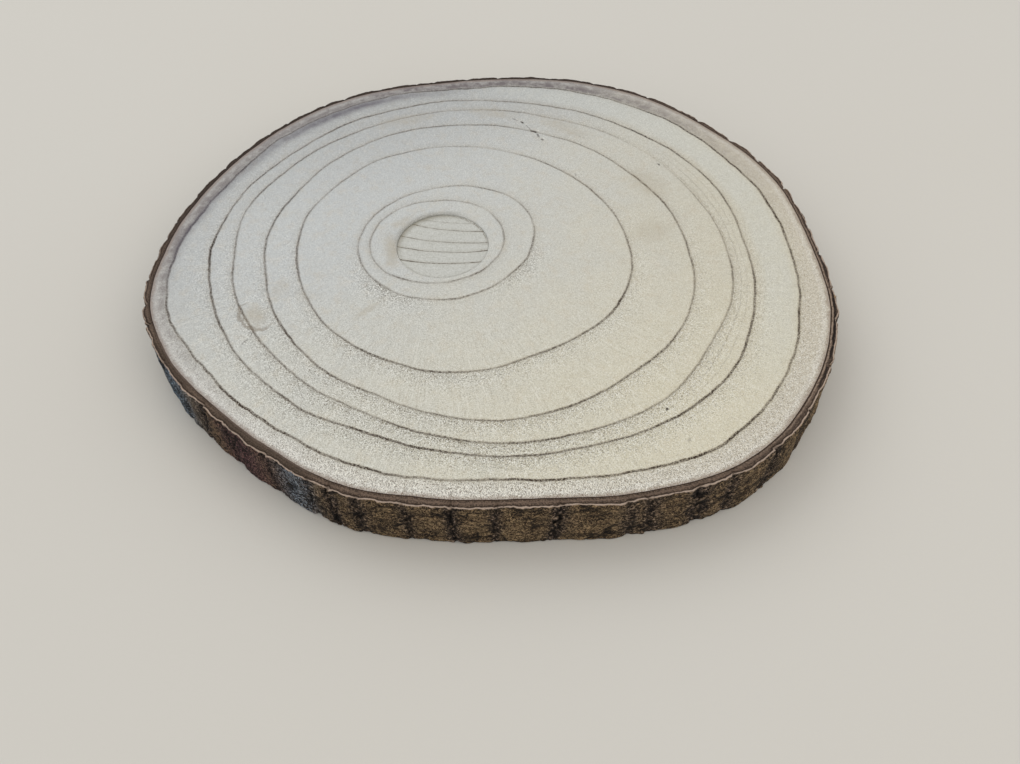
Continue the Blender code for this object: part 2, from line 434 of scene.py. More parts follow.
# Where a turned radius lies once the round has grown out of true, with the radius of every line there
def grownRadius(heading, radius):
    lines = (*sliceShape["growthLines"], sliceShape["woodEdge"])
    trueRadii = [radiusAt(line, heading) + waves(index, heading, woodLook["lineWavesMm"][index] * mm)
                 for index, line in enumerate(lines[:-1])]
    trueRadii = np.array([*trueRadii, edgeAt(heading)])
    groove = 0.5 * sliceShape["lineWidth"] * np.array([-1.0, 0.0, 1.0])
    rim = np.array([sliceShape["boreRadius"], sliceShape["boreRadius"] + sliceShape["rimWear"]])
    turnedAt = np.append(rim, np.add.outer(meanRadii(), groove))
    grownAt = np.concatenate([np.repeat(rim[:, None], len(heading), axis=1),
                              (trueRadii[:, None, :] + groove[None, :, None]).reshape(-1, len(heading))])
    index = np.clip(np.searchsorted(turnedAt, radius, side="right") - 1, 0, len(turnedAt) - 2)
    share = (radius - turnedAt[index]) / (turnedAt[index + 1] - turnedAt[index])
    column = np.arange(len(heading))
    grown = grownAt[index, column] * (1 - share) + grownAt[index + 1, column] * share
    return grown, trueRadii


def makeWood():
    thick = sliceShape["thickness"]
    bore = sliceShape["boreRadius"]
    stations = faceStations()
    lines = meanRadii()[:-1]
    dip = np.exp(-((stations[:, None] - lines[None, :]) / woodLook["lineReach"]) ** 2).max(axis=1)
    top = [(radius, thick - woodLook["lineDepth"] * low) for radius, low in zip(stations, dip)]
    turns = np.radians(woodLook["rimTurns"])
    soft, drop = sliceShape["rimSoftness"], sliceShape["rimDrop"]
    rim = [(bore + soft * (1 - math.cos(turn)), thick - drop * (1 - math.sin(turn))) for turn in turns]
    edge = meanRadii()[-1]
    even = np.linspace(bore, edge, woodLook["underStations"])
    underRadii = np.sort(np.concatenate([even, lines, lines + woodLook["underStep"]]))
    under = [(radius, 0.0) for radius in underRadii[::-1]]
    side = [(edge, 0.6 * thick), (edge, 0.3 * thick)]
    boreWall = [(bore, 0.3 * thick), (bore, 0.7 * thick)]
    section = rim + top + side + under + boreWall
    wood = turnedRing("sawnWood", section, woodLook["steps"])
    points = readPoints(wood)
    heading, radius = headingAndRadius(points)
    turnedMm = points / mm
    grown, trueRadii = grownRadius(heading, radius)
    beyond = (grown[None, :] - trueRadii[:-1]) / mm
    nearest = np.abs(beyond).argmin(axis=0)
    outside = np.where(beyond >= 0, beyond, 1e3).min(axis=0)
    reach = woodLook["paintReachMm"]
    paintPoints(
        wood,
        turnedMm=turnedMm,
        lineNearMm=np.abs(beyond[nearest, np.arange(len(heading))]),
        lineTone=lineTone(nearest, heading),
        ringAge=np.interp(radius, np.append(bore, meanRadii()), np.arange(9)),
        fuzz=fuzzAt(beyond, heading),
        stain=stainAt(beyond, heading),
        outerTint=outerTintAt(beyond, heading),
        outsideMm=np.clip(outside, 0, reach),
        lastBand=clamped(beyond[-1] / woodLook["lastBandMm"]),
        frontSide=nearHeading(heading, *woodLook["frontSide"]),
        nearSide=nearHeading(heading, *woodLook["nearSide"]),
        toEdgeMm=np.clip((trueRadii[-1] - grown) / mm, 0, reach),
    )
    placeRound(points, heading, grown)
    writePoints(wood, points)
    return wood


# How dark the nearest line is at each heading
def lineTone(nearest, heading):
    tone = np.array(woodLook["lineTones"])[nearest]
    for index, change, middle, reach in woodLook["toneChanges"]:
        tone = np.where(nearest == index, tone + change * nearHeading(heading, middle, reach), tone)
    tone = tone - 0.15 * nearHeading(heading, 90, 90) + 0.1 * nearHeading(heading, 300, 90)
    return tone + 0.12 * np.sin(5 * heading + 2.1 * nearest) + 0.08 * np.sin(13 * heading + nearest)


# Torn fibres stand up outside each line but the first, most of all on the near side and in the last band
def fuzzAt(beyond, heading):
    near = nearHeading(heading, *woodLook["fuzzSide"])
    patches = sum(share * nearHeading(heading, *side) for share, *side in woodLook["fuzzPatches"])
    total = np.zeros_like(heading)
    for index, share in enumerate(woodLook["fuzzShares"]):
        past = np.where(beyond[index] >= 0, np.exp(-((beyond[index] / woodLook["fuzzReachMm"]) ** 2)), 0.0)
        where = patches if index == 1 else 0.06 + 0.8 * near
        total = np.maximum(total, share * past * where)
    lastBand = clamped(beyond[-1] / 2.0)
    total += lastBand * (0.02 + 0.32 * near + 0.1 * nearHeading(heading, 330, 70))
    return clamped(total + 0.1 * near)


# The grey-violet stains along the last line, then the tint outside it
def stainAt(beyond, heading):
    total = np.zeros_like(heading)
    for strength, inside, width, *side in woodLook["lineStains"]:
        total += strength * np.exp(-(((beyond[-1] + inside) / width) ** 2)) * nearHeading(heading, *side)
    return clamped(total)


def outerTintAt(beyond, heading):
    band = clamped(beyond[-1] / 1.5) * (0.55 + 0.45 * np.exp(-(((beyond[-1] - 3.0) / 3.0) ** 2)))
    sides = sum(share * nearHeading(heading, *side) for share, *side in woodLook["outerTints"])
    return clamped(band * sides)


# Marks on the face: x, y, half length and half width in millimetres, turn in degrees, and how strong
faceMarks = {
    "cracks": (
        (41.7, 110.9, 3.0, 0.45, -32, 0.55), (46.1, 107.7, 2.0, 1.1, -40, 0.95),
        (49.5, 103.0, 4.6, 0.5, -55, 0.4), (53.0, 98.6, 3.6, 0.9, -40, 0.8),
        (55.6, 94.6, 2.4, 1.0, -62, 0.65), (58.0, 90.4, 1.8, 0.7, -55, 0.6),
        (76.5, 57.2, 1.8, 0.6, -75, 0.35), (126.0, 65.0, 1.3, 0.9, -60, 0.8),
        (81.0, 93.0, 1.0, 0.6, -40, 0.3), (83.5, 91.4, 0.9, 0.6, -40, 0.3),
        (110.1, -115.6, 0.9, 1.0, 0, 1.0), (118.7, -133.5, 1.8, 0.9, 50, 0.3),
        (-98.0, -68.5, 3.4, 0.5, 62, 0.4), (-95.4, -63.5, 2.4, 0.5, 95, 0.4),
    ),
    "flecks": (
        (59.0, 91.6, 2.2, 0.8, -55, 0.4), (48.6, 106.0, 1.6, 0.7, -40, 0.4),
        (55.5, 99.5, 2.0, 0.6, -50, 0.4), (78.0, 58.0, 1.2, 0.5, -75, 0.4),
    ),
    "stains": (
        (-95.4, -51.0, 12.0, 8.5, -52, 0.42), (-84.9, -32.7, 11.0, 7.0, 65, 0.22),
        (-38.4, -48.9, 12.0, 3.0, 41, 0.35), (-70.0, -38.0, 12.0, 6.0, -10, 0.15),
        (116.0, 8.0, 17.0, 13.0, 20, 0.28), (118.0, 48.0, 22.0, 12.0, -55, 0.28),
        (28.0, 118.0, 24.0, 7.0, -12, 0.25), (72.0, 102.0, 26.0, 8.0, -35, 0.28),
        (-25.0, 112.0, 24.0, 8.0, 10, 0.25), (-28.0, -4.0, 5.5, 19.0, 8, 0.5),
        (-23.0, 19.0, 12.0, 4.5, 45, 0.3),
    ),
    # a darker rim round the largest stain, between two ovals
    "stainRim": ((-95.4, -51.0, 12.4, 8.9, -52, 1.0), (-94.6, -50.0, 11.4, 8.0, -52, 1.0)),
}


# An oval patch: 1 inside, 0 outside
def ovalPatch(paint, place, mark, soft):
    x, y, long, wide, turn, strength = mark
    sockets = {0: place, 1: (x, y, 0.0), 2: (0.0, 0.0, math.radians(turn)), 3: (long, wide, 1000.0)}
    inside = paint.node("ShaderNodeMapping", {"vector_type": "TEXTURE"}, sockets)
    away = paint.vector("LENGTH", paint.vector("MULTIPLY", inside, (1.0, 1.0, 0.0)), output=1)
    return paint.step(away, 1.0, soft) * strength


def woodPaint(wood):
    paint = Paint("sawnPaleWood", woodLook["colours"], 0.8, 0.25)
    step, tint, own = paint.step, paint.tint, paint.own
    place = paint.placeMm()
    flat = paint.vector("MULTIPLY", place, (1.0, 1.0, 0.0))
    away = paint.vector("LENGTH", flat, output=1)
    ray = paint.vector("NORMALIZE", flat)
    turned = paint.vector("MULTIPLY", paint.painted("turnedMm", 1), (1.0, 1.0, 0.0))
    turnedAway = paint.vector("LENGTH", turned, output=1)
    names = ("fuzz", "lineNearMm", "lineTone", "outsideMm", "lastBand", "nearSide", "toEdgeMm", "ringAge")
    fuzz, near, tone, outside, lastBand, nearSide, toEdge, age = map(paint.painted, names)
    clouds = paint.noise(place, 0.045, 3.0)
    patchy = paint.noise(place, 0.16, 3.0, 0.6)
    # tints over the whole face; the cool-to-warm sides, the far and right shade and the lighter front are
    # painted light and shade
    across = paint.axis(place, 0)
    along = paint.axis(place, 1)
    # painted light: the face cooler on the far left and warmer on the near right, as the light falls
    side = step(across * 0.85 - along * 0.5 + (clouds - 0.5) * 80, -80.0, 190.0)
    colour = paint.mix(side, own("coolLitWood"), own("warmLitWood"))
    colour = tint(colour, step(patchy, 0.45, 0.75) * 0.22, "warmPatch")
    colour = tint(colour, lastBand * (0.12 + nearSide * 0.2), "paleBand")
    farShade = step(along - across * 0.35, 40.0, 170.0) * 0.41
    farShade = farShade + step(0.0 - across, 95.0, 150.0) * 0.16
    colour = tint(colour, farShade, "farShade")
    coolPatch = step(abs(age - 6.55), 0.5, 0.2) * step(across + along * 0.6, 70.0, 150.0)
    colour = tint(colour, coolPatch * (0.1 + patchy * 0.45), "coolPatch")
    # painted light: the near part of the face lighter and warmer
    frontLight = step(0.0 - along, 10.0, 110.0) * (1.0 - lastBand)
    colour = tint(colour, frontLight * 0.2, "paintedFrontLight")
    colour = tint(colour, step(across + along * 0.5, 60.0, 190.0) * 0.12, "rightShade")
    # pale, then stained brown, where the wood meets the bark
    paleEdge = step(abs(toEdge - 3.6 + clouds), 2.0, 0.4) * lastBand
    colour = tint(colour, paleEdge * 0.3, "paleEdge")
    warmBand = lastBand * (0.12 + step(across, 60.0, 140.0) * 0.2)
    colour = tint(colour, warmBand, "warmBand")
    # painted shade round the bore's rim on the far left, where the face drops to the sunken plug
    farLeft = step(along * 0.8 - across * 0.6, 4.0, 26.0)
    rimShade = step(away + (patchy - 0.5) * 3, 28.6, 25.4) * farLeft
    colour = tint(colour, rimShade * 0.5, "boreShade")
    # each year's growth starts a little darker and warmer outside its line
    early = step(outside + (patchy - 0.5) * 6, 6.0, 0.0) * 0.12
    colour = tint(colour, early, "earlyWood")
    # rays run out from the pith
    rayPlace = paint.vector("ADD", paint.scaled(ray, 150.0), paint.joined(0.0, 0.0, away * 0.09))
    rays = paint.noise(rayPlace, 1.0, 1.0, 0.5)
    rayForce = step(away, 30.0, 90.0) * (0.25 + nearSide * 0.75)
    colour = tint(colour, step(rays, 0.55, 0.75) * rayForce * 0.35, "paleRay")
    colour = tint(colour, step(rays, 0.42, 0.25) * rayForce * 0.25, "darkRay")
    # rows of pores that follow the growth lines
    rowPlace = paint.vector("ADD", paint.scaled(ray, 46.0), paint.joined(0.0, 0.0, turnedAway * 1.1))
    rows = paint.noise(rowPlace, 1.0, 2.0, 0.6)
    colour = tint(colour, step(rows, 0.56, 0.78) * (0.12 + lastBand * 0.25), "poreRow")
    # faint lines of a poor year on the right
    between = abs(age - 5.38 + (patchy - 0.5) * 0.1)
    faint = step(between, 0.035, 0.01) + step(abs(between - 0.27), 0.03, 0.01) * 0.7
    rightSide = step(across - abs(along + 20.0) * 0.7, 40.0, 90.0)
    colour = tint(colour, faint * rightSide * 0.3, "poorYear")
    # pores and torn fibres, drawn out along the rays in the last band
    fibrePlace = paint.vector("ADD", paint.scaled(ray, 470.0), paint.joined(0.0, 0.0, away * 1.25))
    fibres = paint.noise(fibrePlace, 1.0, 2.0, 0.7)
    pores = paint.noise(place, 1.7, 2.0, 0.75)
    fine = paint.noise(place, 2.3, 1.0, 0.6)
    colour = tint(colour, step(fine, 0.51, 0.59) * (0.24 + fuzz * 0.65), "tornTip")
    colour = tint(colour, step(pores, 0.45, 0.39) * (0.2 + fuzz * 0.8), "pore")
    torn = lastBand * (0.08 + nearSide * 0.22 + paint.painted("frontSide") * 0.6)
    colour = tint(colour, step(fibres, 0.5, 0.58) * torn * 0.75, "paleFibre")
    colour = tint(colour, step(fibres, 0.48, 0.38) * torn * 0.85, "darkFibre")
    # growth lines, dotted by their pores
    wobble = (paint.noise(place, 0.8, 2.0, 0.6) - 0.5) * 0.9
    dots = step(paint.noise(place, 1.1, 1.0), 0.36, 0.6)
    uneven = step(paint.noise(place, 0.07, 2.0), 0.3, 0.65)
    line = step(near + wobble + (0.8 - tone) * 0.45, 0.74, 0.3) * tone
    line = line * (0.35 + dots * 0.65) * (0.65 + uneven * 0.35)
    blur = step(near + wobble, 1.5, 0.3) * tone * 0.26
    poreBand = step(outside, 3.4, 0.2) * step(paint.noise(place, 1.0, 1.0), 0.47, 0.36)
    colour = tint(colour, poreBand * uneven * (0.3 + fuzz * 0.3), "linePore")
    colour = tint(colour, blur, "lineBlur")
    greyer = step(along - across * 0.3, 0.0, 90.0)
    lineColour = paint.mix(greyer, own("brownLine"), own("greyLine"))
    colour = paint.mix(line, colour, lineColour)
    # stains, marks and small cracks
    uneasy = paint.shaken(place, 0.25, 5.0)
    for mark in faceMarks["stains"]:
        patch = ovalPatch(paint, uneasy, mark, 0.25)
        colour = tint(colour, patch * (0.4 + patchy), "stainPatch")
    rim, core = (ovalPatch(paint, uneasy, mark, 0.9) for mark in faceMarks["stainRim"])
    colour = tint(colour, (rim - core) * 0.5, "stainRim")
    stain = paint.painted("stain") * (0.7 + step(patchy, 0.3, 0.6) * 0.3)
    colour = tint(colour, stain, "violetStain")
    outerTint = paint.painted("outerTint") * (0.45 + step(patchy, 0.35, 0.62) * 0.5)
    colour = tint(colour, outerTint, "outerTint")
    browned = step(toEdge + (patchy - 0.5) * 5, 2.6, 0.0)
    colour = tint(colour, browned * (0.3 + patchy * 0.6), "brownedEdge")
    shaken = paint.shaken(place, 0.7, 2.4)
    cracked = 0.0
    for mark in faceMarks["cracks"]:
        cracked = ovalPatch(paint, shaken, mark, 0.3) + cracked
    colour = tint(colour, cracked, "crack")
    for mark in faceMarks["flecks"]:
        colour = tint(colour, ovalPatch(paint, shaken, mark, 0.3), "fleck")
    height = fuzz * (pores - 0.5) * 2.2 + (fine - 0.5) * 0.3 - line * 0.5 + (rays - 0.5) * rayForce * 0.3
    paint.give(wood, colour, 0.74 + fuzz * 0.14, paint.bump(height - cracked * 1.2, 0.35))


wood = makeWood()
woodPaint(wood)
finish(wood, "wood")

# The bark: the same plates and furrows as the part's source, with finer cracks between them
barkLook = {
    "steps": 1560,
    "thicknessMean": 3.9 * mm,
    "thicknessSwing": 1.0 * mm,
    "edgeWear": 0.9 * mm,
    "lumpHeight": 0.3 * mm,
    "furrowDepth": 1.5 * mm,
    "furrowWidth": 2.4 * mm,
    "furrowLean": 4.0 * mm,
    # headings in degrees
    "seenFurrows": (217.0, 223.2, 231.0, 241.0, 249.3, 253.5, 258.1, 265.8, 273.0, 279.5, 288.3,
                    298.3, 301.0, 307.3, 311.5, 318.4, 326.0),
    "otherFurrows": 31,
    "furrowSeed": 5,
    "topShares": (0.0, 0.06, 0.14, 0.24, 0.34, 0.44, 0.54, 0.62, 0.7),
    "crestTurns": (0, 22, 45, 68, 90),  # degrees round the worn edge
    "wallStations": 37,
    "gapToWood": 0.03 * mm,
    # cells per millimetre in x, y and z, and how wide their cracks are
    "chunks": (0.3, 0.3, 0.26),
    "chunkCrack": 0.26,
    "flakes": (0.11, 0.11, 0.17),
    "flakeCrack": 0.13,
    # heading and reach in degrees of the sides that differ
    "farSide": (112, 112),
    "rightSide": (343, 42),
    "blueGrey": (212, 14),
    "smallBlueGrey": (246, 7),
    "redBrown": (234, 14),
    "colours": {
        "darkPlate": (54, 40, 26), "palePlate": (84, 64, 43), "paleFlake": (132, 112, 82),
        "darkFlake": (38, 29, 21), "blueGrey": (46, 56, 70), "redBrown": (50, 26, 31),
        "crumbly": (62, 51, 45), "crumb": (146, 120, 92), "darkDash": (26, 19, 14),
        "paleDash": (176, 150, 118), "pit": (18, 12, 9), "flakeGap": (22, 16, 12), "chunk": (158, 132, 100),
        "warmFleck": (192, 162, 122), "greyFleck": (172, 150, 134), "blueFleck": (164, 190, 212),
        "redFleck": (138, 98, 100), "crumbGap": (16, 11, 8), "leftPit": (20, 15, 16), "crack": (18, 13, 10),
        "furrow": (14, 10, 8), "innerDark": (60, 49, 41), "innerPale": (118, 98, 82),
        "stripe": (134, 112, 96), "woodLine": (56, 42, 33), "outerLine": (50, 38, 30),
        "farInnerShade": (48, 38, 33), "leftInner": (60, 49, 39), "leftPale": (122, 104, 92),
        "peelGap": (28, 21, 17), "peelEdge": (176, 154, 134), "rimLine": (188, 166, 148),
    },
}


# Heading, depth, half width and lean of every furrow
def furrows():
    draw = np.random.default_rng(barkLook["furrowSeed"])
    seen = barkLook["seenFurrows"]
    rest = barkLook["otherFurrows"]
    gap = (360.0 - seen[-1] + seen[0]) / (rest + 1)
    jitter = draw.uniform(-0.3, 0.3, rest)
    headings = np.radians(np.append(seen, seen[-1] + gap * (np.arange(rest) + 1 + jitter))) % math.tau
    depths = barkLook["furrowDepth"] * draw.uniform(0.45, 1.0, len(headings))
    widths = barkLook["furrowWidth"] * draw.uniform(0.6, 1.0, len(headings))
    leans = barkLook["furrowLean"] * draw.uniform(-1.0, 1.0, len(headings))
    return np.stack([headings, depths, widths, leans], axis=1)


def makeBark():
    thick = sliceShape["thickness"]
    inner = meanRadii()[-1]
    mean = barkLook["thicknessMean"]
    outer = inner + mean
    wear = barkLook["edgeWear"]
    top = [(inner + share * mean, thick) for share in barkLook["topShares"]]
    turns = np.radians(barkLook["crestTurns"])
    start = outer - wear
    crest = [(start + wear * math.sin(turn), thick - wear + wear * math.cos(turn)) for turn in turns]
    wall = [(outer, height) for height in np.linspace(thick - wear, wear, barkLook["wallStations"])[1:-1]]
    foot = [(start + wear * math.cos(turn), wear - wear * math.sin(turn)) for turn in turns[::2]]
    under = [(inner + share * mean, 0.0) for share in (0.6, 0.3, 0.0)]
    section = top + crest + wall + foot + under + [(inner, 0.5 * thick)]
    bark = turnedRing("roughBark", section, barkLook["steps"])
    points = readPoints(bark)
    heading, radius = headingAndRadius(points)
    height = points[:, 2].copy()
    turnedMm = points / mm
    share = (radius - inner) / mean
    relief = np.sin(37 * heading + 170 * height) + 0.7 * np.sin(83 * heading - 240 * height)
    relief = barkLook["lumpHeight"] * relief
    ragged = 3.0 * mm * noiseAt(turnedMm * (0.12, 0.12, 0.12)) + 1.5 * mm * noiseAt(turnedMm * 0.4)
    broken = np.clip(0.75 + 1.1 * noiseAt(turnedMm * (0.1, 0.1, 0.14) + 5), 0.15, 1)
    core = np.zeros(len(points))
    zone = np.zeros(len(points))
    farSide = clamped(1.7 * nearHeading(heading, *barkLook["farSide"]))
    calm = 1 - 0.7 * farSide
    for place, depth, width, lean in furrows():
        turn = (heading - place + math.pi) % math.tau - math.pi
        across = turn * inner - lean * (height / thick - 0.5)
        torn = np.exp(-(((across + ragged) / (0.38 * width)) ** 2)) * broken
        near = np.exp(-(((across + 0.5 * ragged) / (1.8 * width)) ** 2))
        relief -= calm * (0.3 * depth * np.exp(-((across / width) ** 2)) + 0.9 * depth * torn)
        core = np.maximum(core, torn * (0.4 + 0.6 * depth / barkLook["furrowDepth"]))
        zone = np.maximum(zone, near * depth / barkLook["furrowDepth"])
    warp = 0.5 * noiseAt(turnedMm * 0.25 + 11)[:, None]
    chunk, chunkCrack = cellsAt(turnedMm * barkLook["chunks"] + warp, barkLook["chunkCrack"])
    flakeCrack = cellsAt(turnedMm * barkLook["flakes"] + 0.6 * warp, barkLook["flakeCrack"])[1]
    flakeCrack = flakeCrack * clamped(0.5 + 1.6 * noiseAt(turnedMm * (0.07, 0.07, 0.1) + 23))
    crack = clamped(zone * 1.3 * chunkCrack + (1 - zone) * flakeCrack)
    lumps = 0.3 * noiseAt(turnedMm * (0.3, 0.3, 0.2)) + 0.22 * noiseAt(turnedMm * 0.8 + 40)
    rough = zone * (1.2 * (0.6 - chunk) - 0.7 * chunkCrack) - (1 - zone) * 0.5 * flakeCrack
    relief += mm * clamped(share) * calm * (lumps + rough)
    standsOut = mean - barkLook["thicknessSwing"] * np.sin(heading) + relief
    edge = edgeAt(heading)
    gap = barkLook["gapToWood"]
    grown = edge + gap + share * (standsOut - gap)
    # the worn top dips where a furrow comes through it
    drop = 2.2 * core + 1.4 * zone**3 + 0.6 * zone * chunk + 0.3 * flakeCrack
    drop = mm * calm * clamped(share * 1.6 - 0.6) * drop
    drop += 0.25 * mm * clamped(share * 3) * (0.5 + noiseAt(turnedMm * (0.5, 0.5, 0.0)))
    height = np.where(height > 0.5 * thick, height - drop, height)
    blueGrey = nearHeading(heading, *barkLook["blueGrey"])
    smallBlueGrey = 0.8 * nearHeading(heading, *barkLook["smallBlueGrey"])
    paintPoints(
        bark,
        turnedMm=turnedMm,
        depthMm=(grown - edge) / mm,
        edgeAwayMm=(edge + standsOut - grown) / mm,
        furrow=clamped(core),
        crumbly=clamped(1.35 * zone),
        crack=crack,
        chunk=clamped(1 - chunk) * zone,
        downMm=(thick - points[:, 2]) / mm,
        blueGrey=np.maximum(blueGrey, smallBlueGrey),
        redBrown=nearHeading(heading, *barkLook["redBrown"]),
        farSide=farSide,
        rightSide=nearHeading(heading, *barkLook["rightSide"]),
    )
    placeRound(points, heading, grown)
    points[:, 2] = height
    writePoints(bark, insideBox(points))
    return bark


def barkPaint(bark):
    paint = Paint("roughBark", barkLook["colours"], 0.9, 0.2)
    step, tint, own = paint.step, paint.tint, paint.own
    turned = paint.painted("turnedMm", 1)
    names = ("depthMm", "edgeAwayMm", "downMm", "furrow", "crumbly", "crack")
    depth, edgeAway, down, furrow, crumbly, crack = map(paint.painted, names)
    coarse = paint.noise(turned, 0.12, 4.0, 0.6)
    rough = paint.noise(turned, 0.8, 4.0, 0.7)
    fine = paint.noise(turned, 2.2, 2.0, 0.6)
    crumbs = paint.noise(turned, 0.95, 3.0, 0.75)
    dashes = paint.noise(paint.vector("MULTIPLY", turned, (0.45, 0.45, 1.6)), 1.0, 3.0, 0.6)
    colour = paint.mix(step(coarse, 0.35, 0.68), own("darkPlate"), own("palePlate"))
    # flakes, each with a tone of its own and a dark gap round it
    pushed = paint.vector("MULTIPLY", paint.shaken(turned, 0.35, 3.0), (1.0, 1.0, 1.7))
    flakeTone = paint.node("ShaderNodeSeparateColor", {}, {0: paint.cells(pushed, 0.2, "F1", 1)}, 0)
    flakeGap = paint.cells(pushed, 0.2, "DISTANCE_TO_EDGE")
    colour = tint(colour, step(flakeTone, 0.5, 0.9) * 0.5, "paleFlake")
    colour = tint(colour, step(flakeTone, 0.45, 0.05) * 0.75, "darkFlake")
    blueGrey = paint.painted("blueGrey")
    colour = tint(colour, blueGrey * (0.45 + rough), "blueGrey")
    redBrown = paint.painted("redBrown")
    colour = tint(colour, redBrown * (0.6 + coarse), "redBrown")
    colour = tint(colour, crumbly * 0.4, "crumbly")
    colour = tint(colour, step(rough, 0.51, 0.6) * (0.4 + crumbly * 0.4), "crumb")
    colour = tint(colour, step(dashes, 0.48, 0.4) * 0.8, "darkDash")
    colour = tint(colour, step(dashes, 0.56, 0.64) * 0.5, "paleDash")
    # the dark of pits and of the gaps round flakes: partly the bark's own, partly painted shade in its
    # hollows
    colour = tint(colour, step(rough, 0.47, 0.4) * (0.5 + crumbly * 0.45), "pit")
    colour = tint(colour, step(flakeGap, 0.09, 0.0) * 0.8, "flakeGap")
    colour = tint(colour, step(paint.painted("chunk"), 0.45, 0.75) * 0.6, "chunk")
    fleck = paint.mix(crumbly, own("warmFleck"), own("greyFleck"))
    fleck = paint.mix(blueGrey, fleck, own("blueFleck"))
    fleck = paint.mix(redBrown, fleck, own("redFleck"))
    broken = step(crumbly + blueGrey * 0.6 + redBrown * 0.5, 0.1, 0.6)
    # dark gaps between crumbs: the bark's own dark with painted shade in them
    colour = tint(colour, step(crumbs, 0.48, 0.43) * (0.68 + broken * 0.3), "crumbGap")
    colour = paint.mix(step(crumbs, 0.55, 0.59) * (0.55 + broken * 0.4), colour, fleck)
    colour = paint.mix(step(fine, 0.56, 0.63) * 0.5, colour, fleck)
    leftSide = step(blueGrey + redBrown, 0.0, 0.8)
    colour = paint.mix(step(rough, 0.53, 0.59) * leftSide * 0.35, colour, fleck)
    # pits on the left: the bark's own dark with painted shade in them
    colour = tint(colour, step(rough, 0.47, 0.42) * leftSide * 0.6, "leftPit")
    # cracks and furrows: their own dark with painted shade in them
    colour = tint(colour, crack, "crack")
    colour = tint(colour, furrow * 0.7, "furrow")
    # the sawn top: a dark line, fibrous inner bark, then a pale line along the outer bark's rim
    wave = (paint.noise(turned, 0.3, 2.0) - 0.5) * 0.9
    fibre = paint.noise(paint.vector("MULTIPLY", turned, (1.0, 1.0, 0.3)), 1.3, 3.0, 0.7)
    innerBark = paint.mix(step(fibre, 0.38, 0.64), own("innerDark"), own("innerPale"))
    stripe = step(abs(depth - 1.9 + wave * 0.8), 0.7, 0.2)
    innerBark = tint(innerBark, stripe * 0.4, "stripe")
    innerBark = tint(innerBark, step(depth + wave * 0.4, 0.9, 0.25), "woodLine")
    innerBark = tint(innerBark, step(edgeAway + wave, 2.0, 1.2) * 0.8, "outerLine")
    # painted shade: the sawn top of the bark darker on the far side
    innerBark = tint(innerBark, paint.painted("farSide") * 0.75, "farInnerShade")
    innerBark = tint(innerBark, leftSide * 0.55, "leftInner")
    innerBark = tint(innerBark, leftSide * step(depth + wave, 1.5, 0.3) * 0.6, "leftPale")
    # on the right the outer skin peels away: a dark gap behind a pale edge
    rightSide = paint.painted("rightSide")
    gap = step(abs(depth - 2.2 + wave * 1.6), 0.7, 0.3) * rightSide * step(coarse, 0.36, 0.5)
    innerBark = tint(innerBark, gap, "peelGap")
    skin = step(abs(depth - 1.1 + wave), 0.45, 0.15) * rightSide * step(rough, 0.36, 0.5)
    innerBark = tint(innerBark, skin * 0.7, "peelEdge")
    onTop = step(down, 1.0, 0.3)
    colour = paint.mix(step(edgeAway + wave, 0.3, 0.7) * onTop, colour, innerBark)
    band = step(abs(edgeAway + wave * 1.2 - 0.6), 0.45, 0.15) * step(down, 1.3, 0.7)
    band = band * (1.0 - furrow * 0.6) * (1.0 - paint.painted("farSide") * 0.85)
    band = band * step(rough, 0.28, 0.42)
    colour = tint(colour, band * 0.9, "rimLine")
    height = (rough - 0.5) * 1.1 + (crumbs - 0.5) * broken * 1.2 + (dashes - 0.5) * 0.3 + flakeTone * 0.5
    paint.give(bark, colour, 0.86 + rough * 0.1, paint.bump(height, 0.9))


bark = makeBark()
barkPaint(bark)
finish(bark, "bark", 60)

# Slivers of torn bark along the right-hand rim, and a few thicker spurs
splinterLook = {
    "count": 60,
    "headings": (322.0, 405.0),  # degrees
    "lengthMm": (2.5, 7.0),
    "halfWidthMm": (0.3, 0.65),
    "turn": (-8, 30),  # degrees from the rim
    "downMm": (0.4, 5.0),
    "lift": (-0.5, 0.15),
    "insetMm": 0.9,
    "seed": 11,
    # heading, length, half width, turn from the rim, depth below the top: degrees and millimetres
    "spurs": (
        (347.6, 6.5, 1.1, 38, 1.0), (19.0, 4.0, 0.7, 55, 1.2),
        (195.6, 3.6, 0.8, 60, 1.4), (330.5, 5.0, 0.8, 30, 1.5),
    ),
    "colours": {"dark": (58, 42, 32), "pale": (150, 126, 100)},
}


def oneSplinter(heading, length, halfWidth, turn, down, lift):
    deselectAll()
    size = {"radius1": halfWidth * mm, "depth": length * mm}
    bpy.ops.mesh.primitive_cone_add(vertices=5, end_fill_type="TRIFAN", **size)
    sliver = bpy.context.object
    bpy.ops.object.mode_set(mode="EDIT")
    bpy.ops.mesh.select_all(action="SELECT")
    bpy.ops.mesh.subdivide(number_cuts=2)
    bpy.ops.object.mode_set(mode="OBJECT")
    points = readPoints(sliver)
    along = points[:, 2] / (length * mm)
    points[:, 0] += 0.35 * halfWidth * mm * np.sin(5 * along)  # a slight curl
    points[:, 1] *= 0.55  # flattened
    writePoints(sliver, points)
    angle = math.radians(heading)
    barkThickness = barkLook["thicknessMean"] - barkLook["thicknessSwing"] * math.sin(angle)
    out = edgeAt(np.array([angle]))[0] + barkThickness - splinterLook["insetMm"] * mm
    top = sliceShape["thickness"]
    spot = Vector((math.cos(angle) * out, math.sin(angle) * out, top - down * mm)) + pith
    facing = angle + math.radians(90 - turn)
    aim = Vector((math.cos(facing), math.sin(facing), lift))
    sliver.matrix_world = Matrix.Translation(spot) @ aim.to_track_quat("Z", "Y").to_matrix().to_4x4()
    bpy.ops.object.transform_apply(location=True, rotation=True, scale=True)
    return sliver


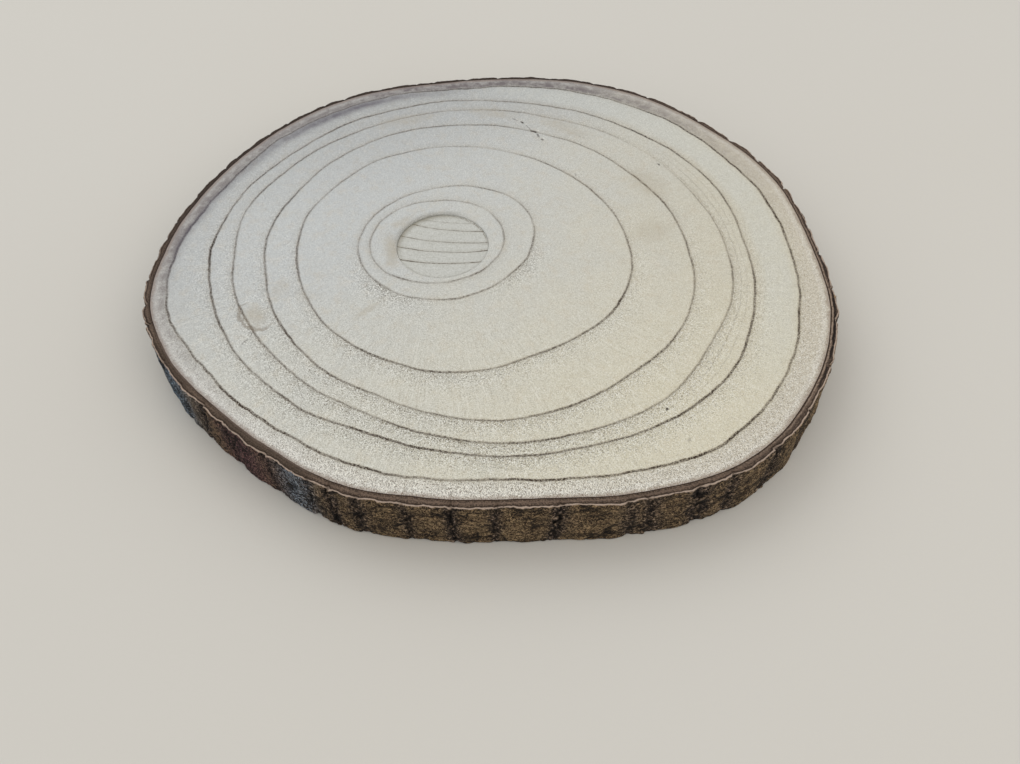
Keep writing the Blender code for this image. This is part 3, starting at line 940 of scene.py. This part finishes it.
def makeSplinters():
    draw = np.random.default_rng(splinterLook["seed"])
    slivers = [oneSplinter(*spur, 0.1) for spur in splinterLook["spurs"]]
    for heading in draw.uniform(*splinterLook["headings"], splinterLook["count"]):
        kinds = ("lengthMm", "halfWidthMm", "turn", "downMm", "lift")
        slivers.append(oneSplinter(heading, *(draw.uniform(*splinterLook[kind]) for kind in kinds)))
    deselectAll()
    for sliver in slivers:
        sliver.select_set(True)
    bpy.context.view_layer.objects.active = slivers[0]
    bpy.ops.object.join()
    joined = bpy.context.object
    joined.name = "barkSplinters"
    joined.data.name = "barkSplinters"
    writePoints(joined, insideBox(readPoints(joined)))
    return joined


def splinterPaint(splinters):
    paint = Paint("tornBark", splinterLook["colours"], 0.85, 0.2)
    place = paint.placeMm()
    streaks = paint.noise(place, 0.9, 3.0, 0.6)
    colour = paint.mix(paint.step(streaks, 0.38, 0.62), paint.own("dark"), paint.own("pale"))
    paint.give(splinters, colour, 0.8 + streaks * 0.1, paint.bump(streaks, 0.2))


splinters = makeSplinters()
splinterPaint(splinters)
finish(splinters, None, 60)

# The plug: straight-grained wood turned to fit the bore, a little below the slice's face
plugLook = {
    "steps": 192,
    "radius": 25.12 * mm,
    "recess": 1.2 * mm,
    "bevel": 0.3 * mm,
    "grainDepth": 0.2 * mm,
    "grainWidthMm": 0.5,
    "grainBend": 0.0044,  # per millimetre
    # distance from the middle in millimetres, slope, and how dark
    "grain": (
        (19.2, -0.15, 0.45), (13.2, -0.19, 0.9), (3.0, -0.14, 0.75),
        (-4.8, -0.085, 0.9), (-13.8, -0.05, 1.0),
    ),
    "faceRows": 46,
    "underRows": 8,
    "edgeTurns": (22, 45, 68, 90),  # degrees round the edge
    "colours": {
        "darkStreak": (180, 178, 168), "paleStreak": (200, 199, 193), "pore": (128, 118, 98),
        "tip": (226, 223, 214), "grainBlur": (150, 138, 114), "grainLine": (76, 62, 46),
        "rimShadow": (120, 110, 88), "rimArc": (96, 82, 62),
    },
}


def makePlug():
    top = sliceShape["thickness"] - plugLook["recess"]
    radius = plugLook["radius"]
    bevel = plugLook["bevel"]
    flat = radius - bevel
    turns = np.radians(plugLook["edgeTurns"])
    section = [(row, top) for row in np.linspace(0.0, flat, plugLook["faceRows"])]
    section += [(flat + bevel * math.sin(turn), top - bevel + bevel * math.cos(turn)) for turn in turns]
    section += [(radius, 0.66 * top), (radius, 0.33 * top), (radius, bevel), (flat, 0.0)]
    section += [(row, 0.0) for row in np.linspace(flat, 0.0, plugLook["underRows"])[1:]]
    plug = turnedRing("turnedPlug", section, plugLook["steps"])
    points = readPoints(plug)
    face = points[:, 2] > top - 0.01 * mm
    x, y = points[:, 0] / mm, points[:, 1] / mm
    for place, slope, dark in plugLook["grain"]:
        off = y - (place + slope * x + plugLook["grainBend"] * x**2)
        dip = plugLook["grainDepth"] * dark * np.exp(-((off / plugLook["grainWidthMm"]) ** 2))
        points[:, 2] -= np.where(face, dip, 0.0)
    points[:, 0] += pith.x
    points[:, 1] += pith.y
    writePoints(plug, points)
    return plug


def plugPaint(plug):
    paint = Paint("plugWood", plugLook["colours"], 0.8, 0.25)
    step, tint, own = paint.step, paint.tint, paint.own
    place = paint.placeMm()
    x = paint.axis(place, 0)
    y = paint.axis(place, 1)
    rise = x * x * plugLook["grainBend"]
    along = paint.vector("MULTIPLY", place, (0.12, 1.0, 1.0))
    streaks = paint.noise(along, 0.8, 3.0, 0.6)
    pores = paint.noise(place, 1.8, 2.0, 0.6)
    colour = paint.mix(streaks, own("darkStreak"), own("paleStreak"))
    colour = tint(colour, step(pores, 0.45, 0.32) * 0.4, "pore")
    colour = tint(colour, step(pores, 0.53, 0.66) * 0.4, "tip")
    wobble = (paint.noise(along, 0.35, 2.0) - 0.5) * 1.6
    dots = step(paint.noise(place, 1.4, 1.0), 0.36, 0.6)
    groove = 0.0
    for where, slope, dark in plugLook["grain"]:
        off = abs(y - x * slope - rise - where + wobble)
        line = step(off, 0.5, 0.12) * dark * (0.3 + dots * 0.4 + step(abs(x), 8.0, 22.0) * 0.3)
        soft = step(off, 2.2, 0.3) * 0.16 * dark
        colour = tint(colour, soft, "grainBlur")
        colour = tint(colour, line, "grainLine")
        groove = line + groove
    # a soft crescent of painted shadow at the far left, where the rim shades the sunken plug, and a thin
    # dark arc just inside the rim at the far right and in front
    out = paint.vector("LENGTH", paint.vector("MULTIPLY", place, (1.0, 1.0, 0.0)), output=1)
    farLeft = step(y * 0.75 - x * 0.65, 2.0, 24.0)
    crescent = step(out + (streaks - 0.5) * 2.0, 21.0, 25.0) * farLeft * 0.6
    colour = tint(colour, crescent, "rimShadow")
    side = step(x * 0.7 + y * 0.7, 16.0, 24.0) * 0.7 + step(0.0 - y, 8.0, 20.0) * 0.35
    arc = step(abs(out - 24.3 + wobble * 0.4), 0.7, 0.15) * side
    colour = tint(colour, arc * dots, "rimArc")
    height = (pores - 0.5) * 0.3 + (streaks - 0.5) * 0.2 - groove * 0.4
    paint.give(plug, colour, 0.78 + pores * 0.08, paint.bump(height, 0.3))


plug = makePlug()
plugPaint(plug)
finish(plug, "plug")

# A plain pale floor and soft light, cooler from the far left and warmer from the near right
studio = {
    "floorSize": 6.0,
    "colours": {"floor": (206, 200, 190), "floorCloud": (208, 203, 194)},
    "skyColour": (0.95, 0.975, 1.0, 1.0),
    "skyStrength": 0.86,
    "window": {"from": (-1.1, 1.3, 2.0), "size": 2.2, "power": 13.0, "colour": (0.92, 0.96, 1.0)},
    "fill": {"from": (1.3, -1.0, 1.6), "size": 1.8, "power": 6.0, "colour": (1.0, 0.88, 0.72)},
}


def addLight(name, light):
    lamp = bpy.data.lights.new(name, "AREA")
    lamp.shape = "DISK"
    lamp.size = light["size"]
    lamp.energy = light["power"]
    lamp.color = light["colour"]
    held = bpy.data.objects.new(name, lamp)
    bpy.context.scene.collection.objects.link(held)
    held.location = light["from"]
    held.rotation_euler = (-Vector(light["from"])).to_track_quat("-Z", "Y").to_euler()


def addStudio():
    deselectAll()
    bpy.ops.mesh.primitive_plane_add(size=studio["floorSize"], location=(0, 0, -0.0002))
    floor = bpy.context.object
    floor.name = "floor"
    paint = Paint("paleFloor", studio["colours"], 0.9, 0.1)
    place = paint.node("ShaderNodeTexCoord", {}, {}, 3)
    cloud = paint.noise(place, 3.0, 2.0)
    tone = paint.mix(cloud, paint.own("floor"), paint.own("floorCloud"))
    paint.give(floor, tone, 0.9, paint.bump(paint.noise(place, 400.0), 0.05))
    world = bpy.data.worlds.new("studio")
    bpy.context.scene.world = world
    world.use_nodes = True
    sky = world.node_tree.nodes["Background"].inputs
    sky["Color"].default_value = studio["skyColour"]
    sky["Strength"].default_value = studio["skyStrength"]
    addLight("window", studio["window"])
    addLight("fill", studio["fill"])
    bpy.context.scene.view_settings.view_transform = "Standard"
    print("studio lit")


addStudio()
